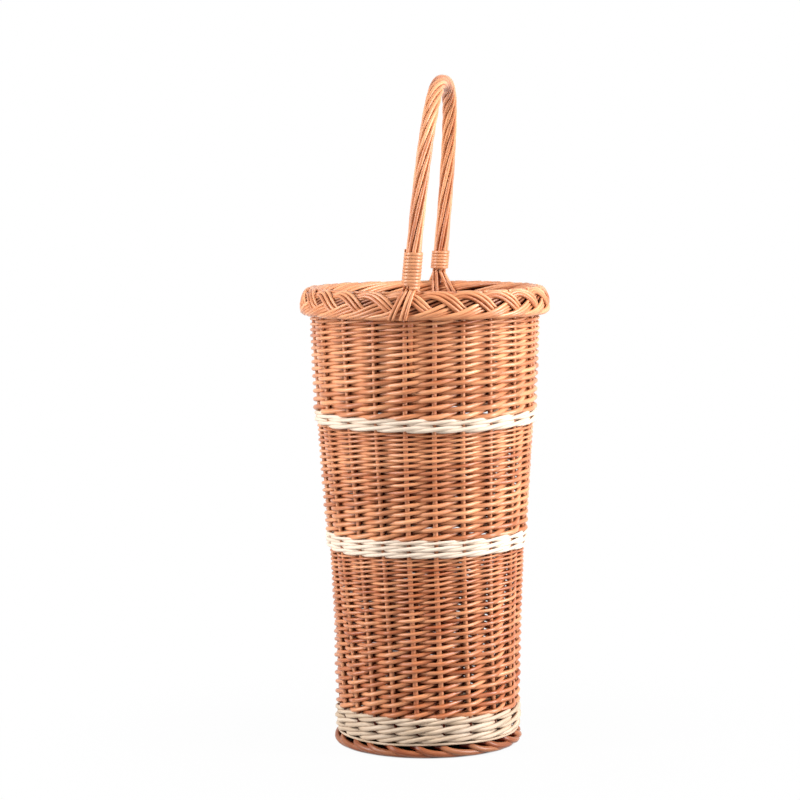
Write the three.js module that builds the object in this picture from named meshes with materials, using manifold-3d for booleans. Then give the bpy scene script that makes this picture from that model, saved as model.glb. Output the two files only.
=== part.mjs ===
// Wicker umbrella stand: a tall round willow basket with a roped hoop handle.
// Upright stakes grow out of a round base and pass through every woven band of the wall.
// Millimetres, +Z up. The origin is on the floor, on the axis of the basket.
// The handle stands over the YZ plane, its front foot towards -Y, and leans a little to +X.
import * as THREE from 'three';
import { mergeVertices } from 'three/addons/utils/BufferGeometryUtils.js';
import Module from 'manifold-3d';

const wasm = await Module();
wasm.setup();

// Clearance between pieces that fit together
const FIT_GAP = 0.3;

// Heights of the bands, from the floor up
const FOOT_HEIGHT = 12.7;
const LOWER_WALE_HEIGHT = 30;
const LOWER_PANEL_HEIGHT = 170.5;
const MIDDLE_WALE_HEIGHT = 18.5;
const MIDDLE_PANEL_HEIGHT = 114.5;
const UPPER_WALE_HEIGHT = 14;
const UPPER_PANEL_HEIGHT = 102;
const BORDER_HEIGHT = 29.5;

// Outer radii of the wall, which is straight between these heights
const FOOT_TOP_RADIUS = 98.1;
const LOWER_PANEL_MIDDLE_RADIUS = 101.5;
const LOWER_PANEL_TOP_RADIUS = 106.7;
const MIDDLE_PANEL_TOP_RADIUS = 117.2;
const UPPER_PANEL_TOP_RADIUS = 123.2;

// Stakes and the weave on both sides of them
const STAKE_BUTT_DIAMETER = 5.2;
const STAKE_TIP_DIAMETER = 4;
const WEAVE_THICKNESS = 3.4;
const CROSSING_THICKNESS = 4;
const BULGE_PITCHES = 1 / 3;
const STAKE_PHASE_PITCHES = 0.3;
const STAKE_LEAN = -12.7;
const STAKE_LEAN_EASE = 0.76;
const STAKE_WANDER = 6;
const STAKE_WANDER_WAVES = 2;
const FOOT_WANDER_SHIFT = 3.8;
const RIM_WANDER_SHIFT = 1.1;
const STAKE_TAIL_LENGTH = 23;
const STAKE_SOCKET_DEPTH = 18;

// Base: sticks crossing each way, fanned out like spokes, and the weave round them
const STICKS_PER_GROUP = 5;
const STICK_DIAMETER = 6.5;
const STICK_SIDE_GAP = 0.7;
const STICK_SHAVED_THICKNESS = 2.6;
const BASE_WEAVE_THICKNESS = 2.6;
const BASE_WEAVE_INNER_RADIUS = 31;

// Foot border and the pegs that hold it to the lowest wale
const FOOT_OVERHANG = 3.7;
const FOOT_WIDTH = 15;
const FOOT_CHAMFER = 3.5;
const PEG_DIAMETER = 4.4;
const PEG_LENGTH = 20;
const STAKES_PER_PEG = 2;

// Plaited border round the mouth
const BORDER_OVERHANG = 10.5;
const BORDER_WIDTH = 22;
const BORDER_SQUARENESS = 2.6;

// Hoop handle: a bow core, the rods roped round it, and their splayed tails
const HANDLE_STEP_OUT = 1.9;
const HANDLE_RISE = 217.5;
const HANDLE_SQUARENESS = 2.8;
const HANDLE_LEAN = 5.7;
const BOW_DIAMETER = 6.9;
const BOW_INSERT = 60;
const ROPING_DIAMETER = 3.7;
const ROPING_SEAT_GAP = 0.5;
const ROPING_SIDE_GAP = 0.6;
const ROPING_TWIST_TURNS = 2.75;
const ROPING_TWIST_BUNCHING = 0.55;
const SPLAY_RISE = 3;
const TAIL_SPREAD = 1.5;
const OUTER_TAIL_SHIFT = 14;
const INNER_TAIL_SHIFT = 10;

// Skein windings that bind the feet of the handle
const SKEIN_DIAMETER = 2.6;
const FRONT_BINDING_LIFT = 2;
const FRONT_BINDING_PITCH = 3.9;
const FRONT_BINDING_LOOPS = 9;
const BACK_BINDING_LIFT = 10;
const BACK_BINDING_PITCH = 3.3;
const BACK_BINDING_LOOPS = 5;

// Fineness of the facets
const RING_SEGMENTS = 36;
const STAKE_SIDES = 4;
const STAKE_STEPS = 2;
const STICK_SIDES = 6;
const BOW_SIDES = 6;
const ROPING_SIDES = 4;
const ARCH_STEPS = 42;
const ARCH_MEASURING_STEPS = 400;
const BORDER_POINTS = 12;
const LOOP_STEPS = 16;
const LOOP_SIDES = 5;
const FLAT_TOLERANCE = 0.002;
const MERGE_TOLERANCE = 1e-4;

// Worked out from the sizes above
const STAKE_COUNT = 4 * STICKS_PER_GROUP;
const STAKE_PITCH = 2 * Math.PI / STAKE_COUNT;
const STAKE_PHASE = STAKE_PHASE_PITCHES * STAKE_PITCH;
const WALL_THICKNESS = STAKE_BUTT_DIAMETER + 2 * (FIT_GAP + WEAVE_THICKNESS);
const LOWER_WALE_TOP = FOOT_HEIGHT + LOWER_WALE_HEIGHT;
const LOWER_PANEL_TOP = LOWER_WALE_TOP + LOWER_PANEL_HEIGHT;
const MIDDLE_WALE_TOP = LOWER_PANEL_TOP + MIDDLE_WALE_HEIGHT;
const MIDDLE_PANEL_TOP = MIDDLE_WALE_TOP + MIDDLE_PANEL_HEIGHT;
const UPPER_WALE_TOP = MIDDLE_PANEL_TOP + UPPER_WALE_HEIGHT;
const UPPER_PANEL_TOP = UPPER_WALE_TOP + UPPER_PANEL_HEIGHT;
const BORDER_TOP = UPPER_PANEL_TOP + BORDER_HEIGHT;
const BASE_THICKNESS = STICK_DIAMETER + 2 * (FIT_GAP + BASE_WEAVE_THICKNESS);
const BASE_BOTTOM = FOOT_HEIGHT + FIT_GAP;
const BASE_LEVEL = BASE_BOTTOM + BASE_THICKNESS / 2;
const WALL_FOOT_INNER_RADIUS = FOOT_TOP_RADIUS - WALL_THICKNESS;
const BASE_RADIUS = WALL_FOOT_INNER_RADIUS - FIT_GAP;

const FOOT_RADIUS = FOOT_TOP_RADIUS + FOOT_OVERHANG;
const BORDER_RADIUS = UPPER_PANEL_TOP_RADIUS + BORDER_OVERHANG;

const WALL_STATIONS = [
  [FOOT_HEIGHT, FOOT_TOP_RADIUS],
  [LOWER_WALE_TOP + LOWER_PANEL_HEIGHT / 2, LOWER_PANEL_MIDDLE_RADIUS],
  [LOWER_PANEL_TOP, LOWER_PANEL_TOP_RADIUS],
  [MIDDLE_PANEL_TOP, MIDDLE_PANEL_TOP_RADIUS],
  [UPPER_PANEL_TOP, UPPER_PANEL_TOP_RADIUS],
];

const radians = THREE.MathUtils.degToRad;

const willow = (color, roughness) => new THREE.MeshStandardMaterial({ color, roughness, metalness: 0 });
const BUFF_WILLOW = willow(0xd9995f, 0.55);
const WHITE_WILLOW = willow(0xe6d0b4, 0.6);
const SKEIN_WILLOW = willow(0xe3a878, 0.5);

// Outer radius of the wall at a height, straight between the stations
function wallRadius(height) {
  const last = WALL_STATIONS.length - 1;
  const found = WALL_STATIONS.findIndex(([z]) => z > height);
  const upper = found < 0 ? last : Math.max(found, 1);
  const [z0, r0] = WALL_STATIONS[upper - 1];
  const [z1, r1] = WALL_STATIONS[upper];
  return THREE.MathUtils.mapLinear(THREE.MathUtils.clamp(height, z0, z1), z0, z1, r0, r1);
}

const wallMiddle = (height) => wallRadius(height) - WALL_THICKNESS / 2;

// A point at an angle round the axis, counted from -Y towards +X
function roundPoint(radius, angle, height) {
  return new THREE.Vector3(radius * Math.sin(angle), -radius * Math.cos(angle), height);
}

// The angle of a stake, or of a place between stakes, which are counted from the front.
// They stand evenly, apart from a lean round the basket and a wander that comes back on itself.
function stakeAngle(place, height) {
  const share = THREE.MathUtils.mapLinear(height, FOOT_HEIGHT, UPPER_PANEL_TOP, 0, 1);
  const lean = STAKE_LEAN * share * (1 + STAKE_LEAN_EASE * (1 - share));
  const wave = (shift) => Math.cos(STAKE_WANDER_WAVES * STAKE_PITCH * (place + shift));
  const wander = STAKE_WANDER * THREE.MathUtils.lerp(wave(FOOT_WANDER_SHIFT), wave(RIM_WANDER_SHIFT), share);
  return STAKE_PHASE + STAKE_PITCH * place + radians(lean + wander);
}

// Turns a mesh whose faces point inwards
function facingOut(geometry) {
  const place = geometry.getAttribute('position');
  const index = geometry.getIndex();
  const corners = [new THREE.Vector3(), new THREE.Vector3(), new THREE.Vector3()];
  let volume = 0;
  for (let i = 0; i < index.count; i += 3) {
    corners.forEach((corner, k) => corner.fromBufferAttribute(place, index.getX(i + k)));
    volume += corners[0].dot(corners[1].cross(corners[2]));
  }
  if (volume < 0) {
    for (let i = 0; i < index.count; i += 3) {
      const first = index.getX(i);
      index.setX(i, index.getX(i + 1));
      index.setX(i + 1, first);
    }
  }
  return geometry;
}

// Keeps only merged positions, so that the mesh is closed
function closed(geometry) {
  geometry.deleteAttribute('normal');
  geometry.deleteAttribute('uv');
  return facingOut(mergeVertices(geometry, MERGE_TOLERANCE));
}

function toSolid(geometry) {
  const vertProperties = new Float32Array(geometry.getAttribute('position').array);
  const triVerts = new Uint32Array(geometry.getIndex().array);
  return new wasm.Manifold(new wasm.Mesh({ numProp: 3, vertProperties, triVerts }));
}

function toGeometry(solid) {
  const mesh = solid.getMesh();
  const geometry = new THREE.BufferGeometry();
  geometry.setAttribute('position', new THREE.BufferAttribute(new Float32Array(mesh.vertProperties), 3));
  geometry.setIndex(new THREE.BufferAttribute(new Uint32Array(mesh.triVerts), 1));
  return geometry;
}

// Cuts a piece, and clears needless corners from faces that stay flat
function cut(geometry, cutters) {
  const left = cutters.reduce((solid, cutter) => solid.subtract(cutter), toSolid(geometry));
  return toGeometry(left.simplify(FLAT_TOLERANCE));
}

// A ring turned from a closed profile of radius and height
function turned(profile) {
  const points = profile.map(([radius, height]) => new THREE.Vector2(radius, height));
  points.push(points[0].clone());
  return closed(new THREE.LatheGeometry(points, RING_SEGMENTS).rotateX(Math.PI / 2));
}

// A closed rod through points, with a radius at each, whose frame turns no more than the path does
function rod(points, radii, sides) {
  const tangents = points.map((point, i) => {
    const next = points[Math.min(i + 1, points.length - 1)];
    const previous = points[Math.max(i - 1, 0)];
    return next.clone().sub(previous).normalize();
  });
  const steep = Math.abs(tangents[0].z) > Math.SQRT1_2;
  const across = new THREE.Vector3(steep ? 1 : 0, 0, steep ? 0 : 1);
  const positions = [];
  points.forEach((point, i) => {
    across.addScaledVector(tangents[i], -across.dot(tangents[i])).normalize();
    const up = tangents[i].clone().cross(across);
    for (let k = 0; k < sides; k += 1) {
      const turn = 2 * Math.PI * k / sides;
      const corner = point.clone();
      corner.addScaledVector(across, radii[i] * Math.cos(turn));
      corner.addScaledVector(up, radii[i] * Math.sin(turn));
      positions.push(corner.x, corner.y, corner.z);
    }
  });
  const index = [];
  const end = (points.length - 1) * sides;
  for (let i = 0; i < points.length - 1; i += 1) {
    for (let k = 0; k < sides; k += 1) {
      const a = i * sides + k;
      const b = i * sides + (k + 1) % sides;
      index.push(a, b, b + sides, a, b + sides, a + sides);
    }
  }
  for (let k = 1; k < sides - 1; k += 1) {
    index.push(0, k + 1, k, end, end + k, end + k + 1);
  }
  const geometry = new THREE.BufferGeometry();
  geometry.setAttribute('position', new THREE.Float32BufferAttribute(positions, 3));
  geometry.setIndex(new THREE.BufferAttribute(new Uint32Array(index), 1));
  return facingOut(geometry);
}

// The room that a rod needs in a piece that it passes through
function channel(points, radii, sides) {
  const longer = points.map((point) => point.clone());
  const last = points.length - 1;
  longer[0].addScaledVector(points[0].clone().sub(points[1]).normalize(), FIT_GAP);
  longer[last].addScaledVector(points[last].clone().sub(points[last - 1]).normalize(), FIT_GAP);
  const wider = radii.map((radius) => radius + FIT_GAP / Math.cos(Math.PI / sides));
  return toSolid(rod(longer, wider, sides));
}

const stand = new THREE.Group();

function place(name, geometry, material) {
  const mesh = new THREE.Mesh(geometry, material);
  mesh.name = name;
  stand.add(mesh);
}

// Stakes: from a tail inside the base, round a bend, up the wall and into the border
function stakePath(index) {
  const angle = stakeAngle(index, BASE_LEVEL);
  const bend = wallMiddle(BASE_LEVEL) - WALL_FOOT_INNER_RADIUS;
  const points = [roundPoint(BASE_RADIUS - STAKE_TAIL_LENGTH, angle, BASE_LEVEL)];
  for (const turn of [0, Math.PI / 4, Math.PI / 2]) {
    const radius = WALL_FOOT_INNER_RADIUS + bend * Math.sin(turn);
    points.push(roundPoint(radius, angle, BASE_LEVEL + bend * (1 - Math.cos(turn))));
  }
  const heights = [];
  WALL_STATIONS.slice(1).forEach(([height], i) => {
    for (let step = i === 0 ? STAKE_STEPS : 1; step <= STAKE_STEPS; step += 1) {
      heights.push(THREE.MathUtils.lerp(WALL_STATIONS[i][0], height, step / STAKE_STEPS));
    }
  });
  for (const height of [...heights, UPPER_PANEL_TOP + STAKE_SOCKET_DEPTH]) {
    points.push(roundPoint(wallMiddle(height), stakeAngle(index, height), height));
  }
  return points;
}

function stakeRadii(points) {
  const top = points[points.length - 1].z;
  const butt = STAKE_BUTT_DIAMETER / 2;
  const tip = STAKE_TIP_DIAMETER / 2;
  return points.map((point) => THREE.MathUtils.mapLinear(point.z, BASE_LEVEL, top, butt, tip));
}

const stakeChannels = [];
for (let index = 0; index < STAKE_COUNT; index += 1) {
  const points = stakePath(index);
  const radii = stakeRadii(points);
  place(`stake_${String(index + 1).padStart(2, '0')}`, rod(points, radii, STAKE_SIDES), BUFF_WILLOW);
  stakeChannels.push(channel(points, radii, STAKE_SIDES));
}

// Base: one group of sticks is split, and the other is shaved and pushed through the splits
const STICK_SPACING = STICK_DIAMETER + STICK_SIDE_GAP;
const CROSS_REACH = (STICKS_PER_GROUP - 1) / 2 * STICK_SPACING + STICK_DIAMETER / 2 + FIT_GAP;
const SPOKE_TURN = STAKE_PHASE + STAKE_PITCH / 2;

// A stick lies straight through the cross and then fans out to a spoke at each end, midway between stakes.
// The middle is the place of its group's middle spoke.
function stickPath(index, middle) {
  const row = index - (STICKS_PER_GROUP - 1) / 2;
  const heading = STAKE_PHASE + STAKE_PITCH * middle;
  const along = roundPoint(CROSS_REACH + STICK_DIAMETER / 2, heading, 0);
  const aside = roundPoint(row * STICK_SPACING, heading + Math.PI / 2, BASE_LEVEL);
  const spokeEnd = (place) => roundPoint(BASE_RADIUS, stakeAngle(place, BASE_LEVEL), BASE_LEVEL);
  const farEnd = spokeEnd(middle + STAKE_COUNT / 2 - row);
  return [farEnd, aside.clone().sub(along), aside.clone().add(along), spokeEnd(middle + row)];
}

// A block across the cross, centred on a height
function crossBlock(heading, height, thickness) {
  const block = new THREE.BoxGeometry(2 * CROSS_REACH, 2 * BASE_RADIUS, thickness);
  return toSolid(closed(block.rotateZ(heading).translate(0, 0, height)));
}

const stickChannels = [];
const split = crossBlock(SPOKE_TURN, BASE_LEVEL, STICK_SHAVED_THICKNESS + 2 * FIT_GAP);
const shaved = [1, -1].map((side) => {
  const height = BASE_LEVEL + side * (STICK_SHAVED_THICKNESS + STICK_DIAMETER) / 2;
  return crossBlock(SPOKE_TURN + Math.PI / 2, height, STICK_DIAMETER);
});

function placeSticks(kind, middle, cutters) {
  for (let index = 0; index < STICKS_PER_GROUP; index += 1) {
    const points = stickPath(index, middle);
    const radii = points.map(() => STICK_DIAMETER / 2);
    place(`${kind}_base_stick_${index + 1}`, cut(rod(points, radii, STICK_SIDES), cutters), BUFF_WILLOW);
    stickChannels.push(channel(points, radii, STICK_SIDES));
  }
}

placeSticks('split', STICKS_PER_GROUP + 0.5, [split]);
placeSticks('through', 2 * STICKS_PER_GROUP + 0.5, shaved);

const baseWeave = turned([
  [BASE_WEAVE_INNER_RADIUS, BASE_BOTTOM],
  [BASE_RADIUS, BASE_BOTTOM],
  [BASE_RADIUS, BASE_BOTTOM + BASE_THICKNESS],
  [BASE_WEAVE_INNER_RADIUS, BASE_BOTTOM + BASE_THICKNESS],
]);
place('base_weave', cut(baseWeave, [...stickChannels, ...stakeChannels]), BUFF_WILLOW);

// Foot border: a ring that stands on the floor, with pegs up into the lowest wale between stakes
function pegPath(index, bottom) {
  const angle = (stakeAngle(index, FOOT_HEIGHT) + stakeAngle(index + 1, FOOT_HEIGHT)) / 2;
  const radius = wallMiddle(FOOT_HEIGHT);
  return [bottom, FOOT_HEIGHT + PEG_LENGTH].map((height) => roundPoint(radius, angle, height));
}

const PEG_RADII = [PEG_DIAMETER / 2, PEG_DIAMETER / 2];
const footTop = FOOT_HEIGHT - FIT_GAP;
let foot = toSolid(turned([
  [FOOT_RADIUS - FOOT_WIDTH, 0],
  [FOOT_RADIUS - FOOT_CHAMFER, 0],
  [FOOT_RADIUS, FOOT_CHAMFER],
  [FOOT_RADIUS, footTop - FOOT_CHAMFER],
  [FOOT_RADIUS - FOOT_CHAMFER, footTop],
  [FOOT_RADIUS - FOOT_WIDTH, footTop],
]));
const pegChannels = [];
for (let index = 0; index < STAKE_COUNT; index += STAKES_PER_PEG) {
  foot = foot.add(toSolid(rod(pegPath(index, footTop / 2), PEG_RADII, STAKE_SIDES)));
  pegChannels.push(channel(pegPath(index, 0), PEG_RADII, STAKE_SIDES));
}
place('foot_border', toGeometry(foot.simplify(FLAT_TOLERANCE)), BUFF_WILLOW);

// Handle: the centre line of the bow, from inside the wall over the mouth and back into the wall
const HANDLE_SPAN_RADIUS = wallMiddle(UPPER_PANEL_TOP) + HANDLE_STEP_OUT;
const LEAN = radians(HANDLE_LEAN);
const ARCH_NORMAL = new THREE.Vector3(Math.cos(LEAN), 0, -Math.sin(LEAN));

// A point of the leaning arch, a superellipse from the front foot at 0 to the back foot at pi
function archPoint(turn) {
  const power = 2 / HANDLE_SQUARENESS;
  const along = -HANDLE_SPAN_RADIUS * Math.sign(Math.cos(turn)) * Math.abs(Math.cos(turn)) ** power;
  const rise = HANDLE_RISE * Math.max(Math.sin(turn), 0) ** power;
  return new THREE.Vector3(rise * Math.sin(LEAN), along, BORDER_TOP + rise * Math.cos(LEAN));
}

const evenShares = (steps) => Array.from({ length: steps + 1 }, (_, i) => i / steps);
const measuredArch = evenShares(ARCH_MEASURING_STEPS).map((share) => archPoint(Math.PI * share));
const archCurve = new THREE.CatmullRomCurve3(measuredArch);
archCurve.arcLengthDivisions = ARCH_MEASURING_STEPS;
const ARCH_LENGTH = archCurve.getLength();

// The bow's place and the outward direction there, a share of the way along the arch
function archFrame(share) {
  const centre = archCurve.getPointAt(share);
  const outward = ARCH_NORMAL.clone().cross(archCurve.getTangentAt(share)).normalize();
  return { centre, outward };
}

function roundTheBow(share, distance, turn) {
  const { centre, outward } = archFrame(share);
  centre.addScaledVector(outward, distance * Math.cos(turn));
  return centre.addScaledVector(ARCH_NORMAL, distance * Math.sin(turn));
}

const archShares = evenShares(ARCH_STEPS);
const legHeights = [UPPER_PANEL_TOP - BOW_INSERT, UPPER_PANEL_TOP];
const bowLeg = (angle) => legHeights.map((height) => roundPoint(wallMiddle(height), angle, height));
const bowArch = archShares.map((share) => archCurve.getPointAt(share));
const bowPath = [...bowLeg(0), ...bowArch, ...bowLeg(Math.PI).reverse()];
const bowRadii = bowPath.map(() => BOW_DIAMETER / 2);
place('handle_bow', rod(bowPath, bowRadii, BOW_SIDES), BUFF_WILLOW);
const bowChannel = channel(bowPath, bowRadii, BOW_SIDES);

// Roping: as many rods as fit round the bow lie in one right-handed twist
const ROPING_RADIUS = ROPING_DIAMETER / 2;
const ROPING_CENTRE = BOW_DIAMETER / 2 + ROPING_SEAT_GAP + ROPING_RADIUS;
const ROPING_ROOM = 2 * Math.asin((ROPING_DIAMETER + ROPING_SIDE_GAP) / (2 * ROPING_CENTRE));
const ROPING_COUNT = Math.floor(2 * Math.PI / ROPING_ROOM);
const ROPING_PITCH = 2 * Math.PI / ROPING_COUNT;
const ROPING_TWIST = Math.round(ROPING_TWIST_TURNS * ROPING_COUNT) * ROPING_PITCH;

const BORDER_CENTRE_RADIUS = BORDER_RADIUS - BORDER_WIDTH / 2;
const BORDER_CENTRE_HEIGHT = UPPER_PANEL_TOP + BORDER_HEIGHT / 2;

// A point on the border's cross-section, or at a distance outside it
function borderSection(turn, distance) {
  const power = 2 / BORDER_SQUARENESS;
  const bulge = (value) => Math.sign(value) * Math.abs(value) ** power;
  const radius = BORDER_CENTRE_RADIUS + (BORDER_WIDTH / 2 + distance) * bulge(Math.cos(turn));
  return [radius, BORDER_CENTRE_HEIGHT + (BORDER_HEIGHT / 2 + distance) * bulge(Math.sin(turn))];
}

// The twist is slack at the feet and tighter over the top
function ropingTurn(share) {
  return ROPING_TWIST * (share - ROPING_TWIST_BUNCHING * Math.sin(2 * Math.PI * share) / (2 * Math.PI));
}

// Below its binding a rod leaves the bow and lies over the border, outside or inside, to its underside
const TAIL_LIFT = ROPING_RADIUS + 2 * FIT_GAP;
const TAIL_TURNS = [66, 48, 30, 8, -15, -38].map(radians);

function tailPath(turn, foot) {
  const side = Math.sign(Math.cos(turn));
  const start = ROPING_CENTRE * Math.sin(turn);
  const reach = HANDLE_SPAN_RADIUS + ROPING_CENTRE * Math.cos(turn);
  const shift = foot * (side > 0 ? OUTER_TAIL_SHIFT : INNER_TAIL_SHIFT);
  const points = [];
  TAIL_TURNS.forEach((section, i) => {
    const [radius, height] = borderSection(side > 0 ? section : Math.PI - section, TAIL_LIFT);
    const across = start * TAIL_SPREAD + shift * i / (TAIL_TURNS.length - 1);
    const point = roundPoint(radius, across / radius, height);
    point.y *= -foot;
    if (side * (radius - reach) > 0) {
      points.push(point);
    }
  });
  return points;
}

const splayShare = SPLAY_RISE / ARCH_LENGTH;
for (let index = 0; index < ROPING_COUNT; index += 1) {
  const lay = (index + 0.5) * ROPING_PITCH;
  const twist = archShares.map((share) => {
    const kept = THREE.MathUtils.lerp(splayShare, 1 - splayShare, share);
    return roundTheBow(kept, ROPING_CENTRE, lay + ropingTurn(share));
  });
  const points = [...tailPath(lay, -1).reverse(), ...twist, ...tailPath(lay + ROPING_TWIST, 1)];
  const radii = points.map(() => ROPING_RADIUS);
  place(`handle_rod_${index + 1}`, rod(points, radii, ROPING_SIDES), BUFF_WILLOW);
}

// Bindings: one skein wound round the roped bow, its ends running off straight
const BINDING_RADIUS = ROPING_CENTRE + ROPING_RADIUS + ROPING_SEAT_GAP + SKEIN_DIAMETER / 2;

// The least gap of a winding to itself, between points over half a loop apart
function leastGap(points) {
  let least = Infinity;
  for (let i = 0; i < points.length; i += 1) {
    for (let k = i + LOOP_STEPS / 2; k < points.length; k += 1) {
      least = Math.min(least, points[i].distanceTo(points[k]));
    }
  }
  return least - SKEIN_DIAMETER;
}

function placeBinding(name, lift, pitch, loops, foot) {
  const rise = SPLAY_RISE + lift;
  const points = [];
  for (let step = 0; step <= loops * LOOP_STEPS; step += 1) {
    const climb = (rise + pitch * step / LOOP_STEPS) / ARCH_LENGTH;
    const turn = -foot * 2 * Math.PI * step / LOOP_STEPS;
    points.push(roundTheBow(foot < 0 ? climb : 1 - climb, BINDING_RADIUS, turn));
  }
  const runOff = (end, before) => end.clone().add(end.clone().sub(before).setLength(SKEIN_DIAMETER));
  const last = points.length - 1;
  points.push(runOff(points[last], points[last - 1]));
  points.unshift(runOff(points[0], points[1]));
  console.log(`${name}: ${loops} loops, least gap to itself ${leastGap(points).toFixed(2)} mm`);
  place(name, rod(points, points.map(() => SKEIN_DIAMETER / 2), LOOP_SIDES), SKEIN_WILLOW);
}

placeBinding('front_binding', FRONT_BINDING_LIFT, FRONT_BINDING_PITCH, FRONT_BINDING_LOOPS, -1);
placeBinding('back_binding', BACK_BINDING_LIFT, BACK_BINDING_PITCH, BACK_BINDING_LOOPS, 1);

// Woven bands of the wall follow the flare and are pierced by every stake
function bandHeights(bottom, top) {
  const low = bottom + FIT_GAP / 2;
  const high = top - FIT_GAP / 2;
  const stations = WALL_STATIONS.map(([height]) => height);
  return [low, ...stations.filter((height) => height > low && height < high), high];
}

// Wales lie close all the way round, so that they are plain rings
function placeWale(name, bottom, top, cutters) {
  const heights = bandHeights(bottom, top);
  const outside = heights.map((height) => [wallRadius(height), height]);
  const inside = heights.map((height) => [wallRadius(height) - WALL_THICKNESS, height]).reverse();
  place(name, cut(turned([...outside, ...inside]), cutters), WHITE_WILLOW);
}

// The rods of a panel bulge over each stake, outside and inside, and cross midway between stakes
function panelRing(heights) {
  const columns = [];
  for (let stake = 0; stake < STAKE_COUNT; stake += 1) {
    columns.push([stake - BULGE_PITCHES / 2, WALL_THICKNESS / 2]);
    columns.push([stake + BULGE_PITCHES / 2, WALL_THICKNESS / 2]);
    columns.push([stake + 0.5, CROSSING_THICKNESS / 2]);
  }
  const positions = [];
  for (const height of heights) {
    for (const side of [1, -1]) {
      for (const [stake, half] of columns) {
        const point = roundPoint(wallMiddle(height) + side * half, stakeAngle(stake, height), height);
        positions.push(point.x, point.y, point.z);
      }
    }
  }
  const index = [];
  const quad = (a, b, c, d) => index.push(a, b, c, a, c, d);
  const round = columns.length;
  const top = 2 * round * (heights.length - 1);
  for (let i = 0; i < round; i += 1) {
    const next = (i + 1) % round;
    for (let level = 0; level < top; level += 2 * round) {
      const above = level + 2 * round;
      quad(level + i, level + next, above + next, above + i);
      quad(level + round + next, level + round + i, above + round + i, above + round + next);
    }
    quad(top + i, top + next, top + round + next, top + round + i);
    quad(next, i, round + i, round + next);
  }
  const geometry = new THREE.BufferGeometry();
  geometry.setAttribute('position', new THREE.Float32BufferAttribute(positions, 3));
  geometry.setIndex(new THREE.BufferAttribute(new Uint32Array(index), 1));
  return facingOut(geometry);
}

function placePanel(name, bottom, top, cutters) {
  place(name, cut(panelRing(bandHeights(bottom, top)), cutters), BUFF_WILLOW);
}

placeWale('lower_wale', FOOT_HEIGHT, LOWER_WALE_TOP, [...stakeChannels, ...pegChannels]);
placePanel('lower_panel', LOWER_WALE_TOP, LOWER_PANEL_TOP, stakeChannels);
placeWale('middle_wale', LOWER_PANEL_TOP, MIDDLE_WALE_TOP, stakeChannels);
placePanel('middle_panel', MIDDLE_WALE_TOP, MIDDLE_PANEL_TOP, stakeChannels);
placeWale('upper_wale', MIDDLE_PANEL_TOP, UPPER_WALE_TOP, stakeChannels);
placePanel('upper_panel', UPPER_WALE_TOP, UPPER_PANEL_TOP, [...stakeChannels, bowChannel]);

// Plaited border: a rounded ring over the ends of the stakes, with the bow through it
const borderProfile = [];
for (let corner = 0; corner < BORDER_POINTS; corner += 1) {
  borderProfile.push(borderSection(2 * Math.PI * (corner + 0.5) / BORDER_POINTS, -FIT_GAP / 2));
}
place('plaited_border', cut(turned(borderProfile), [...stakeChannels, bowChannel]), BUFF_WILLOW);

export default stand;
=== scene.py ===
# %% [markdown]
# # A wicker umbrella stand
# The stand is willow work: twenty upright stakes, three woven panels of buff rods, three pale wales
# between them, a plait round the mouth, a rod border at the foot and a roped hoop handle.
# Everything you see is a long, thin, bent rod, so this lesson has one idea: describe the line that each
# rod follows, give it a thickness that tapers, and let a bevelled curve turn the lines into meshes.
# The CAD model is loaded first as a fixed frame, because every rod has to lie where its solid lies.

# %% Load the frame
import math
import random
from collections import namedtuple

import bmesh
import bpy
import numpy as np
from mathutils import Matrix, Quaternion, Vector


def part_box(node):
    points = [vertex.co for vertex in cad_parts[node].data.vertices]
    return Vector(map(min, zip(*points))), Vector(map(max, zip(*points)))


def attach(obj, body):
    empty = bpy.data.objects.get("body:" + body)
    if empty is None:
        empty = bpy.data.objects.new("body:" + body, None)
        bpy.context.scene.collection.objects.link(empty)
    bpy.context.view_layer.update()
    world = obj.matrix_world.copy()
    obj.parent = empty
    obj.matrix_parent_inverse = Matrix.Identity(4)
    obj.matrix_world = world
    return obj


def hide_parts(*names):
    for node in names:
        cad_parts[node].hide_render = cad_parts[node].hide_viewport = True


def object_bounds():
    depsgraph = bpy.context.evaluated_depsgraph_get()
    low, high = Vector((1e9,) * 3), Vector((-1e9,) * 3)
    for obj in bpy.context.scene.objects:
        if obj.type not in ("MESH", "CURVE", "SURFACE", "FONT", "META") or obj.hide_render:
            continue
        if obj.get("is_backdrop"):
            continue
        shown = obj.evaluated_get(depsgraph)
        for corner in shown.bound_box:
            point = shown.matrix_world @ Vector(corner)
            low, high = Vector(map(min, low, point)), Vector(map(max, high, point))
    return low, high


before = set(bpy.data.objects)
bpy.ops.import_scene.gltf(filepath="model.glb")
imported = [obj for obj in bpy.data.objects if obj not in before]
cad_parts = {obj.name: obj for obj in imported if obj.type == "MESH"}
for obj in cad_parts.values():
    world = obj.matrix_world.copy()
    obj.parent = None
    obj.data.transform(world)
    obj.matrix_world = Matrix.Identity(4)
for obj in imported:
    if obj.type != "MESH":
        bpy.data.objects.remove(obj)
CAD_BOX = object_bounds()
MM = 0.001
print("CAD size in mm:", [round((high - low) / MM, 1) for low, high in zip(*CAD_BOX)])

# %% [markdown]
# ## Camera
# The picture was taken with a long lens from a little above the rim, almost in line with the handle.
# A camera can be placed by eye, but the ellipses of the rim and of the foot give its height and distance,
# so those are written here and the lens follows from the size of the picture. The camera tilts down to
# the stand and needs no shift, so that other views stay centred.

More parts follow.
